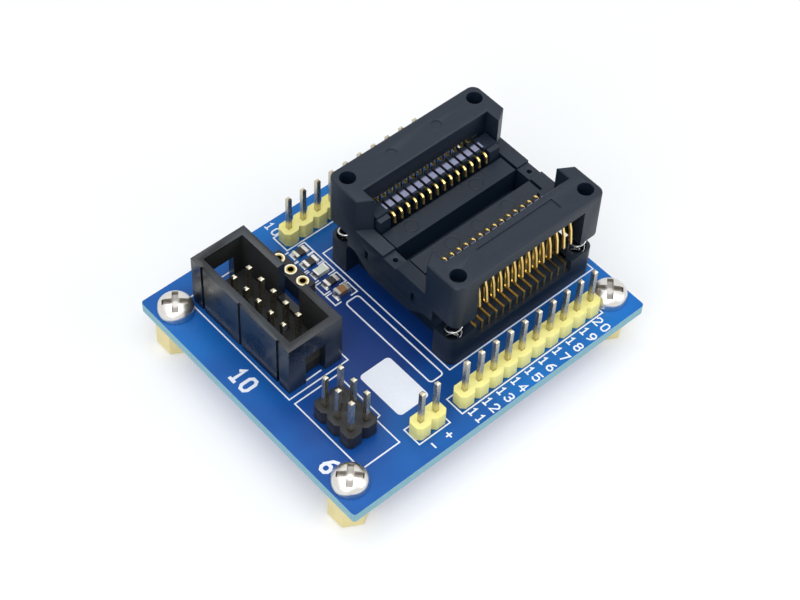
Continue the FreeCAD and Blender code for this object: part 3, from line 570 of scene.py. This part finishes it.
# Contacts
contactLook = dict(
    count=14, pitch=1.27, thickness=0.3, wire=0.34, footInner=8.25, footOuter=11.75,
    footLow=2.95, footHigh=4.5, overlap=0.1, tailWidth=0.46, tailNear=9.2, tailFar=10.9,
    tailLow=-2.78, merge=0.0005, squashFloor=11.1, squashKeep=0.787,
    # inner prong, bowed in and out again, over the top and down as the outer prong
    prongFoot=9.2, prongTurn=97,
    prong=((0.6,), (22.0, -14), (3.0,), (5.0, -9), (0.6,), (0.42, -142), (1.1,), (14.0, -20)),
    # arm, with its bend down into the tip
    armStart=(9.35, 11.85), armThickness=0.288,
    arm=((0.8,), (3.0, 6), (1.6,), (1.2, -24), (0.9,), (0.5, 108), (0.3,), (1.4, -12), (0.25,)))
bendStep = 12  # degrees


def strip(bm, start, turn, width, thickness, moves):
    # a flat wire in the YZ plane, drawn on from its end face: (length,) runs straight,
    # (radius, degrees) bends, with a positive angle to the left
    heading = Vector((0.0, math.cos(turn), math.sin(turn)))
    side = Vector((0.0, -heading.z, heading.y))
    place = Vector(start)
    across = Vector((thickness / 2, 0.0, 0.0))
    corners = [place + side * (width / 2 * s) + across * t
               for s, t in ((-1, -1), (1, -1), (1, 1), (-1, 1))]
    end = [bm.faces.new([bm.verts.new(corner) for corner in corners])]
    for move in moves:
        if len(move) == 1:
            step = heading * move[0]
            grown = bmesh.ops.extrude_face_region(bm, geom=end)["geom"]
            bmesh.ops.translate(bm, vec=step, verts=only(grown, bmesh.types.BMVert))
            place = place + step
        else:
            radius, degrees = move
            angle = math.radians(degrees)
            centre = place + side * (radius if degrees > 0 else -radius)
            steps = max(2, int(abs(degrees) / bendStep))
            grown = bmesh.ops.spin(bm, geom=end, cent=centre, axis=(1, 0, 0), angle=angle,
                                   steps=steps, use_duplicate=False)["geom_last"]
            turned = Matrix.Rotation(angle, 3, "X")
            place = centre + turned @ (place - centre)
            heading = turned @ heading
            side = turned @ side
        end = only(grown, bmesh.types.BMFace)


def contact(bm, tail):
    look = contactLook
    width, thickness = look["wire"], look["thickness"]
    # foot plate and tail
    plate = Matrix.Translation((0, (look["footInner"] + look["footOuter"]) / 2,
                                (look["footLow"] + look["footHigh"]) / 2))
    scale = Matrix.Diagonal((thickness, look["footOuter"] - look["footInner"],
                             look["footHigh"] - look["footLow"], 1.0))
    bmesh.ops.create_cube(bm, size=1.0, matrix=plate @ scale)
    start = look["footLow"] + look["overlap"]
    strip(bm, (0, tail, start), -math.pi / 2, look["tailWidth"], thickness,
          [(start - look["tailLow"],)])
    strip(bm, (0, look["prongFoot"], look["footHigh"] - look["overlap"]),
          math.radians(look["prongTurn"]), width, thickness, look["prong"])
    strip(bm, (0, *look["armStart"]), math.pi, width, look["armThickness"], look["arm"])


def contactPlace(index):
    # the tail's place along and across the row
    look = contactLook
    along = (index - (look["count"] - 1) / 2) * look["pitch"]
    return along, look["tailFar"] if index % 2 else look["tailNear"]


def contactRow(name, side, node):
    look = contactLook
    bm = bmesh.new()
    for index in range(look["count"]):
        along, tail = contactPlace(index)
        one = bmesh.new()
        contact(one, tail)
        bmesh.ops.scale(one, vec=(1, side, 1), verts=one.verts)
        bmesh.ops.translate(one, vec=(socketMiddle[0] + along, socketMiddle[1], boardTop),
                            verts=one.verts)
        mesh = bpy.data.meshes.new("oneContact")
        one.to_mesh(mesh)
        one.free()
        bm.from_mesh(mesh)
        bpy.data.meshes.remove(mesh)
    inMetres(bm)
    merged(bm, look["merge"])
    piece = finished(name, bm, "gold", "board", (node,), smoothBelow=30.0)
    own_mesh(piece)


endFins()
contactRow("contact_row_front", -1, "contacts_front")
contactRow("contact_row_back", 1, "contacts_back")
print("contacts bent")


# Screws
screwLook = dict(
    places=((-screwX, -screwY), (screwX, -screwY), (screwX, screwY), (-screwX, screwY)),
    turns=(46, 44, 20, 53), radius=2.5, edge=0.06, sideHeight=0.75, height=2.1, crownWidth=1.5,
    crownDrop=0.13, crownSteps=7, middleDrop=0.001, sides=48, shank=1.25, tip=3.4, tipEdge=0.2,
    merge=0.001)
recessLook = dict(
    span=4.5, blade=1.05, depth=0.85, taper=(0.72, 0.74), coneLow=0.35, coneHigh=0.85,
    coneHeight=1.2, coneDrop=0.2, coneSides=24)


def applied(piece):
    # the piece's mesh with its modifiers taken up
    graph = bpy.context.evaluated_depsgraph_get()
    mesh = bpy.data.meshes.new_from_object(piece.evaluated_get(graph))
    old = piece.data
    piece.modifiers.clear()
    piece.data = mesh
    bpy.data.meshes.remove(old)


def recessCutters(top):
    # two tapered blades, and a cone between them
    look = recessLook
    blades = bmesh.new()
    for turn in (0.0, math.pi / 2):
        wing = bmesh.ops.create_cube(blades, size=1.0)["verts"]
        bmesh.ops.scale(blades, vec=(look["span"], look["blade"], look["depth"] * 2), verts=wing)
        low = [corner for corner in wing if corner.co.z < 0]
        bmesh.ops.scale(blades, vec=(*look["taper"], 1.0), verts=low)
        bmesh.ops.rotate(blades, cent=(0, 0, 0), matrix=Matrix.Rotation(turn, 3, "Z"), verts=wing)
    bmesh.ops.translate(blades, vec=(0, 0, top), verts=blades.verts)
    inMetres(blades)
    cone = bmesh.new()
    place = Matrix.Translation((0, 0, (top - look["coneDrop"]) * mm))
    bmesh.ops.create_cone(cone, cap_ends=True, segments=look["coneSides"],
                          radius1=look["coneLow"] * mm, radius2=look["coneHigh"] * mm,
                          depth=look["coneHeight"] * mm, matrix=place)
    return plainObject("cross", blades), plainObject("middle", cone)


def panHead(number):
    look = screwLook
    x, y = look["places"][number - 1]
    radius, edge, shank, tip = look["radius"], look["edge"], look["shank"], look["tip"]
    seat = boardTop
    top = seat + look["height"]
    profile = [(0.0, tip), (shank - look["tipEdge"], tip), (shank, tip + look["tipEdge"]),
               (shank, seat), (radius - edge, seat), (radius, seat + edge),
               (radius, seat + look["sideHeight"])]
    crown = look["height"] - look["crownDrop"] - look["sideHeight"]
    for step in range(1, look["crownSteps"] + 1):
        angle = math.pi / 2 * step / look["crownSteps"]
        profile.append((radius - look["crownWidth"] * (1 - math.cos(angle)),
                        seat + look["sideHeight"] + crown * math.sin(angle)))
    profile.append((0.0, top - look["middleDrop"]))
    bm = bmesh.new()
    lathe(bm, profile, look["sides"])
    merged(bm, look["merge"])
    head = plainObject("head", bm)
    cutters = recessCutters(top)
    for cutter in cutters:
        cut = head.modifiers.new("recess", "BOOLEAN")
        cut.operation = "DIFFERENCE"
        cut.solver = "EXACT"
        cut.use_self = True
        cut.object = cutter
    applied(head)
    bm = bmesh.new()
    bm.from_mesh(head.data)
    for spent in (head, *cutters):
        bpy.data.objects.remove(spent)
    turn = math.radians(look["turns"][number - 1])
    bmesh.ops.rotate(bm, cent=(0, 0, 0), matrix=Matrix.Rotation(turn, 3, "Z"), verts=bm.verts)
    bmesh.ops.translate(bm, vec=(x * mm, y * mm, 0), verts=bm.verts)
    finished(f"pan_head_{number}", bm, "nickel", "board", (f"screw_{number}",),
             smoothBelow=28.0)


for number in (1, 2, 3, 4):
    panHead(number)
print("screws turned")


# Printed marks
inkLook = dict(
    rise=0.02, line=0.2, strokeLift=0.004, cornerLift=0.02 / 30, mitreLimit=0.5, gridWidth=4,
    gridHeight=6)
# strokes of each figure on a grid 4 wide and 6 high
figures = {
    "0": [[(1, 0), (3, 0), (4, 1.2), (4, 4.8), (3, 6), (1, 6), (0, 4.8), (0, 1.2), (1, 0)]],
    "1": [[(0.9, 4.9), (2.1, 6), (2.1, 0)], [(0.9, 0), (3.3, 0)]],
    "2": [[(0, 4.7), (0.9, 6), (3.1, 6), (4, 4.9), (4, 3.9), (0, 0), (4, 0)]],
    "3": [[(0, 5.2), (0.9, 6), (3.1, 6), (4, 5.2), (4, 4), (3.1, 3.2), (1.8, 3.2)],
          [(3.1, 3.2), (4, 2.3), (4, 1), (3.1, 0), (0.9, 0), (0, 0.9)]],
    "4": [[(3, 0), (3, 6), (0, 1.9), (4.2, 1.9)]],
    "5": [[(4, 6), (0.3, 6), (0.1, 3.3), (1, 3.8), (3, 3.8), (4, 2.8), (4, 1), (3, 0), (0.9, 0),
           (0, 0.8)]],
    "6": [[(3.4, 6), (1.6, 5.2), (0, 2.6), (0, 1), (1, 0), (3, 0), (4, 1), (4, 2.2), (3, 3.3),
           (1, 3.3), (0, 2.4)]],
    "7": [[(0, 6), (4, 6), (1.4, 0)]],
    "8": [[(1, 3.2), (0.1, 4.2), (0.1, 5.1), (1, 6), (3, 6), (3.9, 5.1), (3.9, 4.2), (3, 3.2),
           (1, 3.2), (0, 2.2), (0, 1), (1, 0), (3, 0), (4, 1), (4, 2.2), (3, 3.2)]],
    "9": [[(4, 3.6), (3, 2.7), (1, 2.7), (0, 3.8), (0, 5), (1, 6), (3, 6), (4, 5), (4, 3.4),
           (2.4, 0.8), (0.6, 0)]],
    "+": [[(2, 1.2), (2, 4.8)], [(0.2, 3), (3.8, 3)]],
    "-": [[(0.2, 3), (3.8, 3)]],
}


def ribbon(bm, points, width, lift=0.0):
    # a raised line with mitred corners; closed when its last point is its first
    look = inkLook
    low = boardTop
    high = low + look["rise"] + lift
    closed = points[0] == points[-1]
    spine = [Vector(point) for point in (points[:-1] if closed else points)]
    count = len(spine)
    edges = []
    for index, point in enumerate(spine):
        # each corner is a little higher than the last, so that crossings don't share a plane
        top = high + look["cornerLift"] * index
        before = spine[index - 1] if index or closed else None
        after = spine[(index + 1) % count] if index < count - 1 or closed else None
        into = (point - before).normalized() if before is not None else None
        away = (after - point).normalized() if after is not None else None
        if into is None or away is None:
            along = into or away
            reach = along * (width / 2 if into is not None else -width / 2)
            across = Vector((-along.y, along.x)) * width / 2
            point = point + reach
        else:
            along = (into + away).normalized()
            across = Vector((-along.y, along.x))
            mitre = across.dot(Vector((-into.y, into.x)))
            across = across * (width / 2 / max(look["mitreLimit"], mitre))
        edges.append([bm.verts.new((place.x, place.y, height))
                      for place, height in ((point + across, low), (point + across, top),
                                            (point - across, top), (point - across, low))])
    pairs = list(zip(edges, edges[1:] + (edges[:1] if closed else [])))
    for first, second in pairs:
        for side in range(3):
            bm.faces.new((first[side], second[side], second[side + 1], first[side + 1]))
    if not closed:
        for end in (edges[0], edges[-1]):
            bm.faces.new(end)


def inkNumber(bm, text, x, y, height, width, pitch, line):
    # read along -Y, with the tops of the figures towards +X, from the middle of the first
    look = inkLook
    wide, high = look["gridWidth"], look["gridHeight"]
    for index, figure in enumerate(text):
        for order, stroke in enumerate(figures[figure]):
            points = [(x + (up - high / 2) * height / high,
                       y - index * pitch - (along - wide / 2) * width / wide)
                      for along, up in stroke]
            ribbon(bm, points, line, look["strokeLift"] * order)


def box(left, right, front, back):
    return [(left, front), (right, front), (right, back), (left, back), (left, front)]


def rounded(left, right, front, back, radius, steps=5):
    # a closed outline with round corners
    points = []
    for cornerX, cornerY, start in ((right, back, 0), (left, back, 90), (left, front, 180),
                                    (right, front, 270)):
        centreX = cornerX - math.copysign(radius, cornerX - (left + right) / 2)
        centreY = cornerY - math.copysign(radius, cornerY - (front + back) / 2)
        for step in range(steps + 1):
            angle = math.radians(start + 90 * step / steps)
            points.append((centreX + radius * math.cos(angle),
                           centreY + radius * math.sin(angle)))
    return points + points[:1]


def inkPiece(name, bm):
    bmesh.ops.recalc_face_normals(bm, faces=bm.faces)
    inMetres(bm)
    finished(name, bm, "ink")


outlines = {
    "line_box_header": [box(-20.85, -10.85, -3.2, 18.4), [(-17.1, -2.25), (-14.7, -2.2)]],
    "line_six_header": [[(-13.5, -4.15), (-20.7, -4.15), (-20.7, -17.35), (-14.3, -17.35),
                         (-14.3, -12.75), (-13.5, -12.6), (-13.5, -4.15)]],
    "line_power_header": [box(-12.6, -7.3, -19.27, -16.3)],
    "line_front_row": [box(-5.17, 20.55, -19.28, -16.3)],
    "line_back_row": [box(-5.17, 20.55, 16.3, 19.28)],
    "line_test_socket": [box(-1.68, 24.95, -13.05, 12.8)],
    "line_crystal": [[(-6.95, 8.1), (-7.0, 6.9), (-7.6, 5.9)]],
}
for name, lines in outlines.items():
    bm = bmesh.new()
    for line in lines:
        ribbon(bm, line, inkLook["line"])
    inkPiece(name, bm)

# two brackets round each chip part, as (open end, far side) along the row
chipMarks = dict(half=1.0, brackets=((-3.45, -2.4), (-5.3, -6.25)))
bm = bmesh.new()
for y in chipLook["rows"]:
    low, high = y - chipMarks["half"], y + chipMarks["half"]
    for near, far in chipMarks["brackets"]:
        ribbon(bm, [(near, high), (far, high), (far, low), (near, low)], inkLook["line"])
inkPiece("line_chips", bm)

smallFigures = dict(height=1.26, width=0.8, pitch=1.4, line=0.23)
firstNumber = dict(x=-3.84, y=-19.93, number=11, count=10)
bm = bmesh.new()
for index in range(firstNumber["count"]):
    inkNumber(bm, str(firstNumber["number"] + index), firstNumber["x"] + pinPitch * index,
              firstNumber["y"], **smallFigures)
inkNumber(bm, "10", -4.2, 21.3, **smallFigures)
inkNumber(bm, "+", -8.7, -20.6, **smallFigures)
inkNumber(bm, "-", -11.3, -20.55, **smallFigures)
inkPiece("pin_numbers", bm)

largeFigures = dict(height=2.25, width=1.2, pitch=2.05, line=0.48)
bm = bmesh.new()
inkNumber(bm, "10", -23.4, 4.1, **largeFigures)
inkNumber(bm, "6", -23.5, -14.3, **largeFigures)
inkPiece("header_numbers", bm)

# blank places to write on, as (left, right, front, back, corner radius)
blankLook = dict(
    panel=(-5.0, -2.75, -13.0, 4.2, 0.5), line=0.22, patch=(-11.6, -6.4, -14.4, -6.2, 0.6))
bm = bmesh.new()
ribbon(bm, rounded(*blankLook["panel"]), blankLook["line"])
inkPiece("name_panel", bm)
bm = bmesh.new()
top = bm.faces.new([bm.verts.new((x, y, boardTop + inkLook["rise"]))
                    for x, y in rounded(*blankLook["patch"])[:-1]])
grown = bmesh.ops.extrude_face_region(bm, geom=[top])["geom"]
bmesh.ops.translate(bm, vec=(0, 0, -inkLook["rise"]), verts=only(grown, bmesh.types.BMVert))
inkPiece("write_on_patch", bm)
print("marks printed")


# Solder and pads
def pinGrid(x, y, columns, rows):
    return [(x + column * pinPitch, y + row * pinPitch)
            for column in range(columns) for row in range(rows)]


throughPins = (
    pinGrid(-3.6, -17.78, 10, 1) + pinGrid(-3.6, 17.78, 10, 1) + pinGrid(-11.22, -17.78, 2, 1)
    + pinGrid(-18.85, -13.09, 2, 3) + pinGrid(-17.07, 2.52, 2, 5) + pinGrid(-8.4, 9.05, 1, 3))
# a joint's outline below the board, as shares of the pad and of the cone, and heights
jointLook = dict(
    pad=((1.0, 0.0), (0.96, 0.05), (0.72, 0.16)), neck=(1.35, 0.45), sides=16, merge=0.001)


def joints(name, places, pad, cone, height):
    look = jointLook
    bm = bmesh.new()
    share, rise = look["neck"]
    outline = [(pad * part, down) for part, down in look["pad"]]
    outline += [(cone * share, height * rise), (cone, height), (0.0, height)]
    profile = [(radius, boardBottom - down) for radius, down in outline]
    for x, y in places:
        lathe(bm, profile, look["sides"], x, y)
    merged(bm, look["merge"])
    finished(name, bm, "solder", smoothBelow=50.0)


joints("solder_header_pins", throughPins, pad=0.85, cone=0.42, height=0.95)
tails = []
for index in range(contactLook["count"]):
    along, out = contactPlace(index)
    tails += [(socketMiddle[0] + along, socketMiddle[1] + side * out) for side in (-1, 1)]
joints("solder_contact_tails", tails, pad=0.6, cone=0.34, height=0.8)

# a fillet's cross-sections, as (place along the chip's edge, height), and its reach
filletLook = dict(
    sections=((-0.66, 0.05), (-0.5, 0.42), (0.5, 0.42), (0.66, 0.05)), inner=0.98, reach=0.42,
    bend=(0.14, 0.55), toe=(0.1, 0.05))


def chipFillets():
    # a sloping fillet of solder at both ends of each chip part
    look = filletLook
    bendOut, bendShare = look["bend"]
    toeIn, toeHeight = look["toe"]
    bm = bmesh.new()
    for y in chipLook["rows"]:
        for side in (-1, 1):
            inner = chipLook["middle"] + side * look["inner"]
            outer = inner + side * look["reach"]
            ends = []
            for edge, rise in look["sections"]:
                outline = ((inner, 0.0), (inner, rise), (inner + side * bendOut, rise * bendShare),
                           (outer - side * toeIn, toeHeight), (outer, 0.0))
                ends.append([bm.verts.new((x, y + edge, boardTop + height))
                             for x, height in outline])
            count = len(ends[0])
            for first, second in zip(ends, ends[1:]):
                for step in range(count):
                    after = (step + 1) % count
                    bm.faces.new((first[step], second[step], second[after], first[after]))
            bm.faces.new(ends[0])
            bm.faces.new(ends[-1])
    bmesh.ops.recalc_face_normals(bm, faces=bm.faces)
    inMetres(bm)
    finished("solder_chips", bm, "solder", smoothBelow=60.0)


chipFillets()
print("solder laid")


# Floor, light and camera
studio = dict(
    floorHalf=1.2, floorColour=shade(214, 217, 220), floorGlow=0.28, floorRoughness=0.55,
    skyLight=0.3, target=(0.0, 0.0, 0.01))
# place, side length and power of each lamp
lamps = dict(
    overheadLight=((-0.05, -0.02, 0.6), 0.7, 2.8),
    leftLight=((-0.5, -0.2, 0.4), 0.35, 1.2),
    rightLight=((0.35, -0.45, 0.35), 0.3, 0.9))
cameraLook = dict(
    place=(-111.597, -117.030, 213.251), turn=(38.11324, -1.92509, -41.47371), lens=87.627,
    sensor=36.0, near=0.01)
white = (1.0, 1.0, 1.0, 1.0)


def floor():
    look = studio
    bm = bmesh.new()
    bmesh.ops.create_grid(bm, x_segments=1, y_segments=1, size=look["floorHalf"])
    piece = plainObject("floor", bm)
    finish = Finish("paleFloor", look["floorColour"])
    finish.put("Roughness", look["floorRoughness"] + finish.noise(0.05) * 0.1)
    # a faint glow from below, as on a light table, keeps the shadows soft
    finish.put("Emission Color", white)
    finish.put("Emission Strength", look["floorGlow"])
    piece.data.materials.append(finish.material)


def lamp(name, place, size, power):
    light = bpy.data.lights.new(name, "AREA")
    light.shape = "RECTANGLE"
    light.size = size
    light.size_y = size
    light.energy = power
    holder = placed(name, light)
    holder.location = place
    towards = Vector(studio["target"]) - Vector(place)
    holder.rotation_euler = towards.to_track_quat("-Z", "Y").to_euler()


def sky():
    # white where the camera or a reflection sees it, dimmer where it lights the part
    world = bpy.data.worlds.new("studioWorld")
    bpy.context.scene.world = world
    world.use_nodes = True
    made, link = world.node_tree.nodes, world.node_tree.links.new
    background = made["Background"]
    background.inputs["Color"].default_value = white
    path = made.new("ShaderNodeLightPath")
    seen = made.new("ShaderNodeMath")
    seen.operation = "MAXIMUM"
    level = made.new("ShaderNodeMapRange")
    level.inputs["To Min"].default_value = studio["skyLight"]
    level.inputs["To Max"].default_value = 1.0
    link(path.outputs["Is Camera Ray"], seen.inputs[0])
    link(path.outputs["Is Glossy Ray"], seen.inputs[1])
    link(seen.outputs["Value"], level.inputs["Value"])
    link(level.outputs["Result"], background.inputs["Strength"])


def camera():
    look = cameraLook
    lens = bpy.data.cameras.new("photoCamera")
    lens.lens = look["lens"]
    lens.sensor_width = look["sensor"]
    lens.clip_start = look["near"]
    holder = placed("photoCamera", lens)
    holder.location = [part * mm for part in look["place"]]
    holder.rotation_euler = [math.radians(part) for part in look["turn"]]
    bpy.context.scene.camera = holder


floor()
for name, (place, size, power) in lamps.items():
    lamp(name, place, size, power)
sky()
camera()
bpy.context.scene.view_settings.view_transform = "Standard"
print("studio set up")
